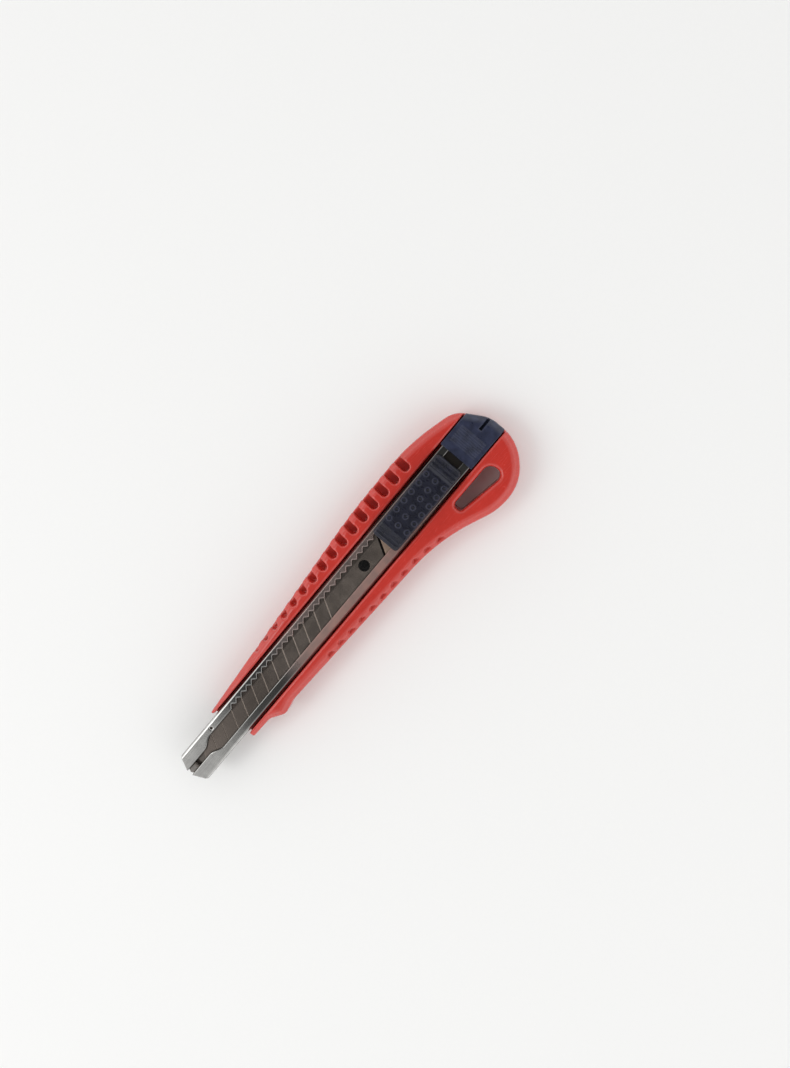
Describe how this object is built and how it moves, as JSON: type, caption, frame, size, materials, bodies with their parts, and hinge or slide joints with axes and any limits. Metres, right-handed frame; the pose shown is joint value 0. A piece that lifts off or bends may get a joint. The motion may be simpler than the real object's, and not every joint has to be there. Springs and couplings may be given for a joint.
{
  "type": "snap-off knife",
  "caption": "Slim snap-off cutter: moulded handle, folded steel blade guide, segmented blade on a ratchet slider, pull-off end cap.",
  "frame": {"origin": "middle of the bounding box, on the resting face at the back of the knife", "axes": "+X from the blade's mouth to the butt, +Y towards the back with the grip pockets, +Z from the resting face to the thumb slider"},
  "size_m": [0.1402, 0.0316, 0.0133],
  "materials": {
    "handle_plastic": "glossy moulded plastic, red",
    "guide_steel": "satin stainless sheet",
    "blade_steel": "oiled dark tool steel",
    "carrier_steel": "plain pressed steel",
    "spring_steel": "hardened spring strip",
    "slider_plastic": "semi-gloss moulded plastic, navy"
  },
  "bodies": {
    "knife_body": {"handle_body": "handle_plastic", "guide_channel": "guide_steel"},
    "blade_carriage": {"blade_carrier": "carrier_steel", "blade_stud": "carrier_steel", "spring_rivet": "carrier_steel", "blade": "blade_steel"},
    "ratchet": {"ratchet_spring": "spring_steel"},
    "thumb_slider": {"slider_button": "slider_plastic"},
    "cap": {"end_cap": "slider_plastic"}
  },
  "joints": [
    {"name": "blade_slide", "type": "slide", "parent": "knife_body", "child": "blade_carriage", "axis": [-1, 0, 0], "range_m": [0, 0.075]},
    {"name": "slider_press", "type": "slide", "parent": "blade_carriage", "child": "thumb_slider", "axis": [0, 0, -1], "range_m": [0, 0.0007], "stiffness_N_per_m": 400, "springref_m": -0.002},
    {"name": "pawl_release", "type": "hinge", "parent": "blade_carriage", "child": "ratchet", "pos_m": [0.04245, 0.0031, 0.0088], "axis": [0, 0, 1], "range_deg": [0, 5.8]},
    {"name": "cap_pull", "type": "slide", "parent": "knife_body", "child": "cap", "axis": [1, 0, 0], "range_m": [0, 0.012]}
  ],
  "couplings": [
    {"joint": "pawl_release", "follows": "slider_press", "rad_per_m": 142.86}
  ]
}
